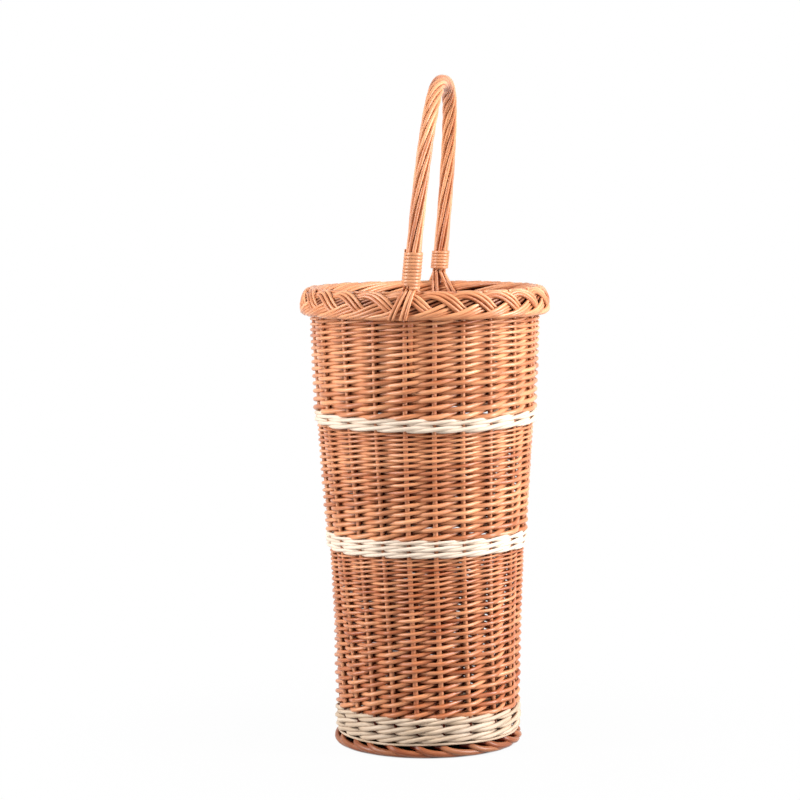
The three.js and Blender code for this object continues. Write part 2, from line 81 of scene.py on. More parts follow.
# %% Place the camera
PICTURE_WIDTH = 800
FOCAL_LENGTH_PIXELS = 2630
SENSOR_WIDTH = 36
CAMERA_AZIMUTH = math.radians(7.25)
CAMERA_DISTANCE = 2810
CAMERA_HEIGHT = 625
AIM_HEIGHT = 369.5
AIM_LEFT = 27.4
CAMERA_ROLL = math.radians(-0.5)

camera_right = Vector((math.cos(CAMERA_AZIMUTH), math.sin(CAMERA_AZIMUTH), 0))
camera_back = Vector((math.sin(CAMERA_AZIMUTH), -math.cos(CAMERA_AZIMUTH), 0))
camera_place = (camera_back * CAMERA_DISTANCE + Vector((0, 0, CAMERA_HEIGHT))) * MM
camera_aim = (Vector((0, 0, AIM_HEIGHT)) - camera_right * AIM_LEFT) * MM

camera_data = bpy.data.cameras.new("picture_camera")
camera_data.sensor_width = SENSOR_WIDTH
camera_data.lens = SENSOR_WIDTH * FOCAL_LENGTH_PIXELS / PICTURE_WIDTH
camera = bpy.data.objects.new("picture_camera", camera_data)
camera.location = camera_place
camera_look = (camera_aim - camera_place).to_track_quat("-Z", "Y")
camera.rotation_euler = (camera_look @ Quaternion((0, 0, 1), CAMERA_ROLL)).to_euler()
bpy.context.scene.collection.objects.link(camera)
bpy.context.scene.camera = camera
print("lens in mm:", round(camera_data.lens, 1))

# %% [markdown]
# ## The wall that the rods are woven round
# The wall flares from the foot to the rim with a slight belly. The bands' heights are read from the frame,
# so the weave grows with the CAD model. The stakes are not quite evenly spaced, as on the real basket, and
# the same small wander is used for every rod that passes them.

# %% Read the wall from the frame
FOOT_TOP_RADIUS = 98.1
BELLY_RADIUS = 101.5
PANEL_TOP_RADII = {"lower_panel": 106.7, "middle_panel": 117.2, "upper_panel": 123.2}
WALL_THICKNESS = 12.6
STAKE_COUNT = 20
STAKE_PITCH = 2 * math.pi / STAKE_COUNT
STAKE_PHASE = 0.3 * STAKE_PITCH
STAKE_LEAN = math.radians(-12.7)
STAKE_LEAN_EASE = 0.76
STAKE_WANDER = math.radians(6)
FOOT_WANDER_SHIFT = 3.8
RIM_WANDER_SHIFT = 1.1
WEAVE_LIFT = 1.6
STAKE_BUTT = 5.6
STAKE_TIP = 5.0
STAKE_PROUD = 0.6


def levels(node):
    """Lowest and highest level of a CAD node in mm."""
    low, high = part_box(node)
    return low[2] / MM, high[2] / MM


def reach(node):
    """Largest distance of a CAD node along X in mm."""
    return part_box(node)[1][0] / MM


FLOOR_TO_WALE = levels("lower_wale")[0]
BORDER_BOTTOM, BORDER_TOP = levels("plaited_border")
BELLY_HEIGHT = sum(levels("lower_panel")) / 2
wall_stations = [(FLOOR_TO_WALE, FOOT_TOP_RADIUS), (BELLY_HEIGHT, BELLY_RADIUS)]
for panel, radius in PANEL_TOP_RADII.items():
    wall_stations.append((levels(panel)[1], radius))
station_heights, station_radii = np.array(wall_stations).T


def wall_share(height):
    """0 at the foot of the wall and 1 under the rim."""
    return (height - FLOOR_TO_WALE) / (BORDER_BOTTOM - FLOOR_TO_WALE)


def wall_middle(height):
    """Radius of the stakes' middle line at a height, a little further out where the rods are thinner."""
    middle = np.interp(height, station_heights, station_radii) - WALL_THICKNESS / 2
    return middle + WEAVE_LIFT * wall_share(height)


def stake_angle(place, height):
    """Angle of a stake, or of a place between stakes, counted to the right from the front."""
    share = wall_share(height)
    lean = STAKE_LEAN * share * (1 + STAKE_LEAN_EASE * (1 - share))
    foot_wave = np.cos(2 * STAKE_PITCH * (place + FOOT_WANDER_SHIFT))
    rim_wave = np.cos(2 * STAKE_PITCH * (place + RIM_WANDER_SHIFT))
    wander = STAKE_WANDER * (foot_wave + share * (rim_wave - foot_wave))
    return STAKE_PHASE + STAKE_PITCH * place + lean + wander


def stake_thickness(height):
    """Thickness of a stake, which tapers from butt to tip."""
    return np.interp(height, (0, BORDER_TOP), (STAKE_BUTT, STAKE_TIP))


def round_points(radius, angle, height):
    """Points in mm from cylinder coordinates, with angle 0 at the front and growing to the right."""
    return np.stack(np.broadcast_arrays(radius * np.sin(angle), -radius * np.cos(angle), height), axis=-1)


print("wall radii in mm:", [round(float(r), 1) for r in station_radii])

# %% [markdown]
# ## From a line to a rod
# A bevelled curve is the natural tool for willow: each rod is one poly spline, its bevel gives the round
# section, and the radius at each point gives the taper. The curve is then made a mesh, because the weld
# that closes the cut ends and the grain both need one. Every vertex remembers where it lies on its own
# rod (round it and along it), and every rod has a tint, so one finish can vary from rod to rod.

# %% Rod helpers
Rod = namedtuple("Rod", "points radii tint closed", defaults=(False,))
CUT_BEVEL = 0.2
CUT_CROWN = 1.1
WELD_DISTANCE = 1e-6
GRAIN_OFFSET = 137
# Painted shade: these set how far into the weave a rod's surface is painted darker.
PAINTED_SHADE_START = 1.0
PAINTED_SHADE_EASE = 0.8
PAINTED_SHADE_DEPTH = 2.6


def smooth_line(points, spacing):
    """A Catmull-Rom line through a few points, with a point about every spacing mm."""
    points = np.array(points, dtype=float)
    padded = np.vstack([2 * points[0] - points[1], points, 2 * points[-1] - points[-2]])
    line = []
    for before, start, end, after in zip(padded, padded[1:], padded[2:], padded[3:]):
        count = max(2, int(np.linalg.norm(end - start) / spacing))
        for share in np.arange(count) / count:
            bend = 2 * before - 5 * start + 4 * end - after
            swing = 3 * start - before - 3 * end + after
            line.append(start + (share * (end - before) + share ** 2 * bend + share ** 3 * swing) / 2)
    return np.array(line + [points[-1]])


def cut_ends(points, radii):
    """Close both ends of a rod with a slightly bevelled cut."""
    head = points[0] - points[1]
    tail = points[-1] - points[-2]
    head = head / np.linalg.norm(head) * radii[0]
    tail = tail / np.linalg.norm(tail) * radii[-1]
    first = [points[0] + head * CUT_BEVEL * CUT_CROWN, points[0] + head * CUT_BEVEL]
    last = [points[-1] + tail * CUT_BEVEL, points[-1] + tail * CUT_BEVEL * CUT_CROWN]
    shrink = 1 - CUT_BEVEL
    capped = np.concatenate([[0, radii[0] * shrink], radii, [radii[-1] * shrink, 0]])
    return np.vstack([first, points, last]), capped


def grain_place(points, radii, sides, number):
    """Place of each vertex on its own rod in mm: across, across and along."""
    steps = np.linalg.norm(np.diff(points, axis=0), axis=1)
    along = np.concatenate([[0], np.cumsum(steps)]) + GRAIN_OFFSET * number
    turn = 2 * np.pi * np.arange(sides) / sides
    size = max(radii)
    across = np.stack([np.cos(turn), np.sin(turn)], axis=-1) * size
    return np.concatenate([np.tile(across, (len(points), 1)), np.repeat(along, sides)[:, None]], axis=1)


def wall_painted_shade(places, normals):
    """Painted shade: 0 on the wall's faces, rising to 1 where a rod's surface lies far in and faces the
    stakes.
    """
    radius = np.hypot(places[:, 0], places[:, 1])
    depth = radius - wall_middle(places[:, 2])
    facing = (places[:, 0] * normals[:, 0] + places[:, 1] * normals[:, 1]) / radius
    start = PAINTED_SHADE_START - PAINTED_SHADE_EASE * wall_share(places[:, 2])
    return np.clip((start - depth * facing) / PAINTED_SHADE_DEPTH, 0, 1)


def lay_rods(name, rods, finish, nodes, sides=8, profile=None, painted_shade=None):
    """Make one piece of many rods, and let it stand for CAD nodes."""
    curve = bpy.data.curves.new(name + "_lines", "CURVE")
    curve.dimensions = "3D"
    if profile:
        curve.bevel_mode = "OBJECT"
        curve.bevel_object = profile
        curve.twist_mode = "Z_UP"
        sides = len(profile.data.splines[0].points)
    else:
        curve.bevel_depth = 1
        curve.bevel_resolution = (sides - 4) // 2
    places = []
    tints = []
    for number, rod in enumerate(rods):
        points, radii = rod.points, rod.radii
        if not rod.closed:
            points, radii = cut_ends(points, radii)
        spline = curve.splines.new("POLY")
        spline.points.add(len(points) - 1)
        spline.points.foreach_set("co", np.column_stack([points * MM, np.ones(len(points))]).ravel())
        spline.points.foreach_set("radius", np.asarray(radii) * MM)
        spline.use_cyclic_u = rod.closed
        places.append(grain_place(points, radii, sides, number))
        tints.append(np.full(len(points) * sides, rod.tint))
    lines = bpy.data.objects.new(name + "_lines", curve)
    bpy.context.scene.collection.objects.link(lines)
    bpy.context.view_layer.update()
    mesh = bpy.data.meshes.new_from_object(lines.evaluated_get(bpy.context.evaluated_depsgraph_get()))
    bpy.data.objects.remove(lines)
    mesh.name = name
    mesh.attributes.new("grain_place", "FLOAT_VECTOR", "POINT").data.foreach_set(
        "vector", np.concatenate(places).ravel())
    mesh.attributes.new("rod_tint", "FLOAT", "POINT").data.foreach_set("value", np.concatenate(tints))
    weld = bmesh.new()
    weld.from_mesh(mesh)
    bmesh.ops.remove_doubles(weld, verts=weld.verts, dist=WELD_DISTANCE)
    bmesh.ops.recalc_face_normals(weld, faces=weld.faces)
    weld.to_mesh(mesh)
    weld.free()
    mesh.shade_smooth()
    # Painted shade: a share of shade for each vertex, which the finish paints into the colour.
    if painted_shade:
        places = np.empty(3 * len(mesh.vertices))
        normals = np.empty(3 * len(mesh.vertices))
        mesh.vertices.foreach_get("co", places)
        mesh.vertices.foreach_get("normal", normals)
        shaded = painted_shade(places.reshape(-1, 3) / MM, normals.reshape(-1, 3))
        mesh.attributes.new("painted_shade", "FLOAT", "POINT").data.foreach_set("value", shaded)
    mesh.materials.clear()
    mesh.materials.append(finish)
    piece = bpy.data.objects.new(name, mesh)
    bpy.context.scene.collection.objects.link(piece)
    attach(piece, "root")
    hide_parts(*nodes)
    triangles = sum(len(face.vertices) - 2 for face in mesh.polygons)
    print(f"{name}: {len(rods)} rods, {triangles} triangles")


# %% [markdown]
# ## Willow finishes
# Buff willow is boiled before it is peeled, which stains it tan to reddish brown; white willow is peeled
# raw and stays cream. Both have fine streaks along the rod, slow changes of colour, small bud scars and a
# satin skin. In the crevices the colour turns to painted shade and the satin skin is taken off there. A
# photograph could be wrapped on, but a rod is far too long for that, so the finish is drawn from noise
# that is stretched along the rod. A small class lets the shader be written as arithmetic.


# %% Shader arithmetic
class Shade:
    """A socket of a finish: arithmetic on it adds Math nodes."""

    def __init__(self, tree, socket=None):
        self.tree = tree
        self.socket = socket

    def node(self, kind, settings=None, sockets=None, output=0):
        """Add a node: its settings first, then the values or links of its sockets."""
        node = self.tree.nodes.new(kind)
        for name, value in (settings or {}).items():
            setattr(node, name, value)
        for name, value in (sockets or {}).items():
            if isinstance(value, Shade):
                self.tree.links.new(value.socket, node.inputs[name])
            else:
                node.inputs[name].default_value = value
        return Shade(self.tree, node.outputs[output] if node.outputs else None)

    def math(self, operation, first, second=0.0):
        """A Math node on two values or sockets."""
        return self.node("ShaderNodeMath", {"operation": operation}, {0: first, 1: second})

    def __add__(self, other):
        return self.math("ADD", self, other)

    def __radd__(self, other):
        return self.math("ADD", other, self)

    def __sub__(self, other):
        return self.math("SUBTRACT", self, other)

    def __rsub__(self, other):
        return self.math("SUBTRACT", other, self)

    def __mul__(self, other):
        return self.math("MULTIPLY", self, other)

    def __rmul__(self, other):
        return self.math("MULTIPLY", other, self)

    def between(self, low, high):
        """0 below low, 1 above high, and smooth between them."""
        limits = {"Value": self, "From Min": low, "From Max": high}
        return self.node("ShaderNodeMapRange", {"interpolation_type": "SMOOTHSTEP"}, limits)

    def blend(self, first, second):
        """One colour turning into another as this value goes from 0 to 1."""
        return self.node("ShaderNodeMix", {"data_type": "RGBA"}, {0: self, 6: first, 7: second}, output=2)

    def stretched(self, scale):
        """This place with each of its axes scaled."""
        return self.node("ShaderNodeVectorMath", {"operation": "MULTIPLY"}, {0: self, 1: scale})

    def noise(self, detail):
        """Noise read at this place."""
        return self.node("ShaderNodeTexNoise", {}, {"Vector": self, "Scale": 1.0, "Detail": detail})

    def spots(self):
        """Distance from the nearest of many scattered points."""
        return self.node("ShaderNodeTexVoronoi", {}, {"Vector": self, "Scale": 1.0})


# %% Willow finish
STREAK_SCALE = (1.3, 1.3, 0.03)
BLOTCH_SCALE = (0.08, 0.08, 0.022)
SKIN_SCALE = (3.0, 3.0, 0.25)
SCAR_SCALE = (0.2, 0.2, 0.018)
SCAR_SIZE = (0.07, 0.16)
STREAK_SHARE = 0.9
BLOTCH_SHARE = 0.8
TINT_RANGE = (-0.15, 1.15)
SCAR_STAIN = 0.4
SCAR_STAIN_AND_SHADE_RANGE = (0.05, 0.85)
SKIN_GLOSS = 0.25
SCAR_GLOSS = 0.15
STREAK_RELIEF = 0.6
SKIN_RELIEF = 0.3
SCAR_RELIEF = 0.5
RELIEF_STRENGTH = 0.3
RELIEF_DEPTH = 0.0004
BARE_SHINE = 0.15
COAT = 0.6


def colour(red, green, blue):
    """A screen colour from 0 to 255 as the linear colour that shaders use."""
    shares = [value / 255 for value in (red, green, blue)]
    return [s / 12.92 if s <= 0.04045 else ((s + 0.055) / 1.055) ** 2.4 for s in shares] + [1]


def willow_finish(name, dark, light, deep, roughness):
    """Rods between two colours by their tint, with streaks, blotches, bud scars and painted shade in the
    crevices.
    """
    finish = bpy.data.materials.new(name)
    finish.use_nodes = True
    tree = finish.node_tree
    tree.nodes.clear()
    start = Shade(tree)
    place = start.node("ShaderNodeAttribute", {"attribute_name": "grain_place"}, output=1)
    tint = start.node("ShaderNodeAttribute", {"attribute_name": "rod_tint"}, output=2)
    painted_shade = start.node("ShaderNodeAttribute", {"attribute_name": "painted_shade"}, output=2)
    streaks = place.stretched(STREAK_SCALE).noise(3)
    blotches = place.stretched(BLOTCH_SCALE).noise(2)
    skin = place.stretched(SKIN_SCALE).noise(2)
    scars = 1 - place.stretched(SCAR_SCALE).spots().between(*SCAR_SIZE)
    shade = tint + STREAK_SHARE * (streaks - 0.5) + BLOTCH_SHARE * (blotches - 0.5)
    base = shade.between(*TINT_RANGE).blend(dark, light)
    # The bud scars' real stain and the painted shade of the crevices both turn the colour towards the deep
    # one.
    scar_stain_and_painted_shade = start.math("MAXIMUM", SCAR_STAIN * scars, painted_shade)
    base = scar_stain_and_painted_shade.between(*SCAR_STAIN_AND_SHADE_RANGE).blend(base, deep)
    gloss = roughness + SKIN_GLOSS * (skin - 0.5) + SCAR_GLOSS * scars
    relief = STREAK_RELIEF * streaks + SKIN_RELIEF * skin - SCAR_RELIEF * scars
    bump = relief.node(
        "ShaderNodeBump", {}, {"Strength": RELIEF_STRENGTH, "Distance": RELIEF_DEPTH, "Height": relief})
    surface = {"Base Color": base, "Roughness": gloss, "Normal": bump, "Specular IOR Level": BARE_SHINE}
    # The satin coat is taken off where shade is painted, so the crevices lose their sheen too.
    surface.update({"Coat Weight": COAT - COAT * painted_shade, "Coat Roughness": roughness})
    shader = start.node("ShaderNodeBsdfPrincipled", {}, surface)
    start.node("ShaderNodeOutputMaterial", {}, {"Surface": shader})
    print("finish:", name, len(tree.nodes), "nodes")
    return finish


# The last colour of each finish is the bud scars' stain and also the painted shade of the crevices.
buff_willow = willow_finish(
    "buff_willow", colour(146, 62, 14), colour(238, 172, 124), colour(74, 18, 0), 0.37)
white_willow = willow_finish(
    "white_willow", colour(170, 144, 116), colour(225, 206, 187), colour(110, 54, 16), 0.55)
skein_willow = willow_finish(
    "skein_willow", colour(168, 96, 56), colour(216, 154, 112), colour(90, 44, 20), 0.38)

# %% [markdown]
# ## Stakes
# Twenty stakes carry everything. Each comes out of the base, turns up with a soft bend, climbs the wall and
# ends inside the plait. They show as short upright pieces wherever a weaver passes behind.

# %% Stakes
STAKE_TAIL = 23
STAKE_SOCKET = 12
STAKE_STATIONS = 12
STAKE_SPACING = 5
STAKE_TINTS = (0.25, 0.5)
CLEAR_OF_BEND = 3
# Painted shade on the stakes inside each wale, from 0 to 1.
WALE_PAINTED_SHADES = {"lower_wale": 1, "middle_wale": 0.35, "upper_wale": 0.3}
BASE_LEVEL = sum(levels("base_weave")) / 2
BASE_RADIUS = reach("base_weave")
dice = random.Random(11)


def stake(index):
    """A stake from its tail in the base to its end in the rim."""
    bend = wall_middle(BASE_LEVEL) - BASE_RADIUS
    radii = [BASE_RADIUS - STAKE_TAIL, BASE_RADIUS]
    heights = [BASE_LEVEL, BASE_LEVEL]
    for turn in (math.pi / 4, math.pi / 2):
        radii.append(BASE_RADIUS + bend * math.sin(turn))
        heights.append(BASE_LEVEL + bend * (1 - math.cos(turn)))
    first = BASE_LEVEL + CLEAR_OF_BEND * bend
    for height in np.linspace(first, BORDER_BOTTOM + STAKE_SOCKET, STAKE_STATIONS):
        radii.append(wall_middle(height) + STAKE_PROUD)
        heights.append(height)
    heights = np.array(heights)
    stations = round_points(np.array(radii), stake_angle(index, heights), heights)
    points = smooth_line(stations, STAKE_SPACING)
    return Rod(points, stake_thickness(points[:, 2]) / 2, dice.uniform(*STAKE_TINTS))


def stake_painted_shade(places, normals):
    """Stakes get painted shade inside the close wales, most in the lowest, and none elsewhere."""
    dark = np.zeros(len(places))
    upright = np.hypot(places[:, 0], places[:, 1]) > BASE_RADIUS
    for node, painted_shade_share in WALE_PAINTED_SHADES.items():
        low, high = levels(node)
        dark[upright & (places[:, 2] > low) & (places[:, 2] < high)] = painted_shade_share
    return dark


lay_rods(
    "wall_stakes", [stake(index) for index in range(STAKE_COUNT)], buff_willow,
    [f"stake_{index + 1:02d}" for index in range(STAKE_COUNT)], painted_shade=stake_painted_shade)

# %% [markdown]
# ## Woven panels
# The panels are French randing: one rod starts behind each stake, and all twenty climb to the right side by
# side, in front of one stake and behind the next. A rod tapers from butt to tip, so the rows are coarse at
# the foot of a panel and fine at its top. A height that eases off along the rod gives exactly that.

# %% Weavers of the panels
POINTS_PER_STAKE = 8
ROD_FILL = 1.18
FRONT_SAG = 0.3
KINK = 0.94
PRESSED = 0.7
SLOW_SWAY = 0.7
QUICK_SWAY = 0.4
BUTT_TUCK = 0.5
TIP_TUCK = 0.2
WEAVER_GIRTHS = (0.94, 1.07)
WEAVER_TINTS = (-0.18, 0.18)
UNREST = 0.06
UNREST_PACES = (0.5, 0.9)
UNREST_STARTS = (0, 6)


def sway(angle, height):
    """Small rise and fall of the rows round the basket."""
    slow = SLOW_SWAY * np.sin(2 * angle + 0.03 * height)
    return slow + QUICK_SWAY * np.sin(5 * angle - 0.05 * height + 1)


def weaver(start, low, high, first_rise, last_rise, first_fill, tint):
    """One rod of a panel, which rises first_rise mm a stake at its butt and last_rise at its tip."""
    girth = dice.uniform(*WEAVER_GIRTHS)
    low = low - BUTT_TUCK * first_rise
    high = high - TIP_TUCK * last_rise
    passed = 2 * round((high - low) / (first_rise + last_rise))
    last_rise = 2 * (high - low) / passed - first_rise
    step = np.linspace(0, passed, int(passed * POINTS_PER_STAKE) + 1)
    rise = first_rise + (last_rise - first_rise) * step / passed
    climb = first_rise * step + (last_rise - first_rise) * step ** 2 / (2 * passed)
    angle = stake_angle(start + step, low + climb)
    fill = first_fill + (ROD_FILL - first_fill) * step / passed
    thickness = fill * girth * rise
    unrest = UNREST * rise * np.sin(step * dice.uniform(*UNREST_PACES) + dice.uniform(*UNREST_STARTS))
    height = low + climb + sway(angle, low + climb) + unrest
    height += FRONT_SAG * rise / np.pi * np.cos(np.pi * step)
    swing = (stake_thickness(height) + thickness) / 2 - PRESSED
    bent = np.arcsin(KINK * np.cos(np.pi * step)) / math.asin(KINK)
    radius = wall_middle(height) - swing * bent
    return Rod(round_points(radius, angle, height), thickness / 2, tint + dice.uniform(*WEAVER_TINTS))


def woven_panel(node, first_rise, last_rise, first_fill, tint, tuck=0):
    """A panel between its two levels, with its tips tucked up under the band above."""
    low, high = levels(node)
    rods = [
        weaver(start, low, high + tuck, first_rise, last_rise, first_fill, tint)
        for start in range(STAKE_COUNT)]
    lay_rods("woven_" + node, rods, buff_willow, [node], painted_shade=wall_painted_shade)


# The tints rise from the lower panel to the upper one, so the wall is darker towards the foot, partly as
# painted shade.
woven_panel("lower_panel", first_rise=5.1, last_rise=2.15, first_fill=1.0, tint=0.38)
woven_panel("middle_panel", first_rise=4.6, last_rise=2.1, first_fill=1.1, tint=0.42)
woven_panel("upper_panel", first_rise=4.7, last_rise=2.55, first_fill=1.2, tint=0.49, tuck=5)

# %% [markdown]
# ## Wales
# A wale is a firm band of three rods that take turns: each passes in front of two stakes and behind one,
# over the rod before it. Seen along the row that is a three-strand rope, so a rod's height and depth are
# two waves over three stakes. Each round lies level and steps up to the next round at the back.

# %% Waling
WALE_RODS = 3
STEP_UP_SHARE = 0.12
WALE_START = STAKE_COUNT / 2
SWING_MIDDLE = 0.333
SWING_ONCE = 1.05
SWING_TWICE = 0.283
WALE_GIRTH_WAVE = 0.07
WALE_GIRTH_PACE = 0.45
WALE_TINTS = (-0.2, 0.2)


def wale_swing(turn):
    """Depth of a wale rod: 1 in front of two stakes, -1 behind the third."""
    return SWING_MIDDLE + SWING_ONCE * np.cos(turn) - SWING_TWICE * np.cos(2 * turn)


def wale_rod(number, low, thicknesses, fill, tint):
    """One of three rods; its thickness in each round is given from the lowest round up."""
    rounds = len(thicknesses)
    place = np.linspace(0, rounds * STAKE_COUNT - 1, rounds * STAKE_COUNT * POINTS_PER_STAKE)
    place = place + number
    laps = np.minimum(place / STAKE_COUNT, rounds - 0.001)
    lap = np.floor(laps)
    ease = np.clip((laps - lap - 1 + STEP_UP_SHARE) / STEP_UP_SHARE, 0, 1)
    round_number = np.minimum(lap + ease * ease * (3 - 2 * ease), rounds - 1)
    stacked = np.concatenate([[0], np.cumsum(2 * np.array(thicknesses))])
    middles = (stacked[:-1] + stacked[1:]) / 2
    thickness = np.interp(round_number, np.arange(rounds), thicknesses)
    turn = 2 * np.pi / WALE_RODS * (place - number)
    level = low + np.interp(round_number, np.arange(rounds), middles)
    angle = stake_angle(WALE_START + place, level)
    height = level + sway(angle, level) + thickness / math.sqrt(3) * np.sin(turn)
    swing = (stake_thickness(height) + thickness) / 2
    radius = wall_middle(height) + swing * wale_swing(turn)
    girth = fill + WALE_GIRTH_WAVE * np.sin(place * WALE_GIRTH_PACE + 2 * number)
    points = round_points(radius, angle, height)
    return Rod(points, thickness * girth / 2, tint + dice.uniform(*WALE_TINTS))


def wale(node, thicknesses, fill, tint, lift=0):
    """Fill a CAD band with rounds of waling in the given proportions."""
    low, high = levels(node)
    scale = (high - low - lift) / (2 * sum(thicknesses))
    scaled = [scale * thickness for thickness in thicknesses]
    return [wale_rod(number, low + lift, scaled, fill, tint) for number in range(WALE_RODS)]


BOTTOM_ROD = 3.0
BOTTOM_POINTS = 240
BOTTOM_LAP = 0.99
BOTTOM_PROUD = 4.3
# The lowest wale has a far lower tint than the two above it, darker towards the foot, partly as painted
# shade.
LOWER_WALE_TINT = 0.3
bottom_turn = np.linspace(0, 2 * np.pi * BOTTOM_LAP, BOTTOM_POINTS) + math.pi
bottom_height = FLOOR_TO_WALE + BOTTOM_ROD / 2 + sway(bottom_turn, FLOOR_TO_WALE)
bottom_points = round_points(wall_middle(bottom_height) + BOTTOM_PROUD, bottom_turn, bottom_height)
bottom_rod = Rod(bottom_points, np.full(BOTTOM_POINTS, BOTTOM_ROD / 2), LOWER_WALE_TINT)
lower_rods = wale("lower_wale", (4.1, 4.6, 3.9), fill=1.1, tint=LOWER_WALE_TINT, lift=BOTTOM_ROD)
lay_rods(
    "waled_lower_band", lower_rods + [bottom_rod], white_willow, ["lower_wale"],
    painted_shade=wall_painted_shade)
middle_rods = wale("middle_wale", (3.5, 3.7, 3.0), fill=1.26, tint=0.95)
lay_rods(
    "waled_middle_band", middle_rods, white_willow, ["middle_wale"], painted_shade=wall_painted_shade)
upper_rods = wale("upper_wale", (3.8, 3.5), fill=1.3, tint=0.9)
lay_rods(
    "waled_upper_band", upper_rods, white_willow, ["upper_wale"], painted_shade=wall_painted_shade)

# %% [markdown]
# ## Foot border
# Buff rods come down steeply from under the lowest wale, turn to the right over the rod before, run along
# the floor and tuck in behind. Each is a short line through a few points, repeated round the foot with small
# changes of length, and its lowest part just touches the floor.

# %% Foot border
FOOT_RODS = 22
FOOT_ROD = 7.2
FOOT_REACH = reach("foot_border")
FOOT_TURNS = np.radians([-4, 0, 3, 6, 10, 16, 24, 32, 40])
FOOT_INSETS = np.array([10, 5, 1.5, 0.3, 0, 0.6, 2.2, 5, 8])
FOOT_RISES = np.array([8.4, 7.6, 5.8, 4.0, 2.5, 1.2, 0.3, 0, 1.1])
FOOT_SHIFTS = (-0.16, 0.16)
FOOT_GIRTHS = (0.88, 1.08)
FOOT_LENGTHS = (0.94, 1.1)
FOOT_TINTS = (0.2, 0.48)
FOOT_TIP = 0.85
FOOT_SPACING = 2
# Painted shade on the foot: a share on every rod, rising where a rod is tucked in.
FOOT_PAINTED_SHADE = 0.45
FOOT_PAINTED_SHADE_START = 4.5
FOOT_PAINTED_SHADE_DEPTH = 4


def foot_rod(index):
    """One rod of the border, from under the wale to its tip behind the next rods."""
    start = 2 * math.pi * (index + dice.uniform(*FOOT_SHIFTS)) / FOOT_RODS
    thickness = FOOT_ROD * dice.uniform(*FOOT_GIRTHS)
    turns = FOOT_TURNS * dice.uniform(*FOOT_LENGTHS)
    radii = FOOT_REACH - thickness / 2 - FOOT_INSETS
    heights = thickness / 2 + FOOT_RISES
    points = smooth_line(round_points(radii, start + turns, heights), FOOT_SPACING)
    taper = np.linspace(1, FOOT_TIP, len(points))
    return Rod(points, thickness / 2 * taper, dice.uniform(*FOOT_TINTS))


def foot_painted_shade(places, normals):
    """Painted shade on every rod, darker the further a rod is tucked in behind the others."""
    depth = FOOT_REACH - FOOT_PAINTED_SHADE_START - np.hypot(places[:, 0], places[:, 1])
    return np.clip(FOOT_PAINTED_SHADE + depth / FOOT_PAINTED_SHADE_DEPTH, FOOT_PAINTED_SHADE, 1)


lay_rods(
    "foot_border_rods", [foot_rod(index) for index in range(FOOT_RODS)], buff_willow,
    ["foot_border"], painted_shade=foot_painted_shade)

# %% [markdown]
# ## Base
# Out of sight in the picture, but not from above: two groups of five sticks cross, fan out into spokes and
# are woven round by a pair of rods that twist between the spokes. The sticks lie where the CAD sticks lie.

# %% Base
STICKS = 5
STICK_THICKNESS = 6.5
STICK_SPACING = 7.2
CROSS_REACH = (STICKS - 1) / 2 * STICK_SPACING + STICK_THICKNESS
PAIRING_INNER = 31
PAIRING_THICKNESS = 2.9
PAIRING_PITCH = 3.5
PAIRING_POINTS = 5
PAIRING_TINTS = (0.3, 0.6)
STICK_SPARE = 2
STICK_STEP = 4
STICK_TINTS = (0.3, 0.65)


def base_stick(index, middle):
    """A stick of the group whose middle spoke is at this place; spokes lie midway between stakes."""
    row = index - (STICKS - 1) / 2
    heading = STAKE_PHASE + STAKE_PITCH * middle
    along = round_points(CROSS_REACH + STICK_SPARE, heading, 0)
    aside = round_points(row * STICK_SPACING, heading + math.pi / 2, BASE_LEVEL)
    near_end = round_points(BASE_RADIUS, stake_angle(middle + row, BASE_LEVEL), BASE_LEVEL)
    far_end = round_points(BASE_RADIUS, stake_angle(middle + STAKE_COUNT / 2 - row, BASE_LEVEL), BASE_LEVEL)
    points = smooth_line([far_end, aside - along, aside, aside + along, near_end], STICK_STEP)
    return Rod(points, np.full(len(points), STICK_THICKNESS / 2), dice.uniform(*STICK_TINTS))


def pairing_rod(number):
    """One of the two rods that twist about each other between the spokes."""
    rounds = (BASE_RADIUS - PAIRING_INNER) / PAIRING_PITCH
    place = np.linspace(0, rounds * STAKE_COUNT, int(rounds * STAKE_COUNT * PAIRING_POINTS))
    turn = np.pi * (place + number)
    swing = (STICK_THICKNESS + PAIRING_THICKNESS) / 2
    radius = PAIRING_INNER + PAIRING_PITCH * place / STAKE_COUNT + PAIRING_THICKNESS / 2 * np.sin(turn)
    angle = stake_angle(place + 0.5, BASE_LEVEL)
    points = round_points(radius, angle, BASE_LEVEL + swing * np.cos(turn))
    return Rod(points, np.full(len(points), PAIRING_THICKNESS / 2), dice.uniform(*PAIRING_TINTS))


for kind, middle in (("split", STICKS + 0.5), ("through", 2 * STICKS + 0.5)):
    lay_rods(
        f"{kind}_base_sticks", [base_stick(index, middle) for index in range(STICKS)], buff_willow,
        [f"{kind}_base_stick_{index + 1}" for index in range(STICKS)])
lay_rods(
    "base_pairing", [pairing_rod(number) for number in range(2)], buff_willow,
    ["base_weave"], sides=6)

# %% [markdown]
# ## Plaited border
# The rim is a five-strand plait laid over the bent ends of the stakes. Each strand is a flat set of three
# rods that swings from the top of the rim to its underside and back; going from an edge to the middle it
# lies over the others, and from the middle to an edge under them. The tails of the sets run along the
# inside of the rim. Two waves give the plait: one across the rim and one, twice as fast, for its depth.

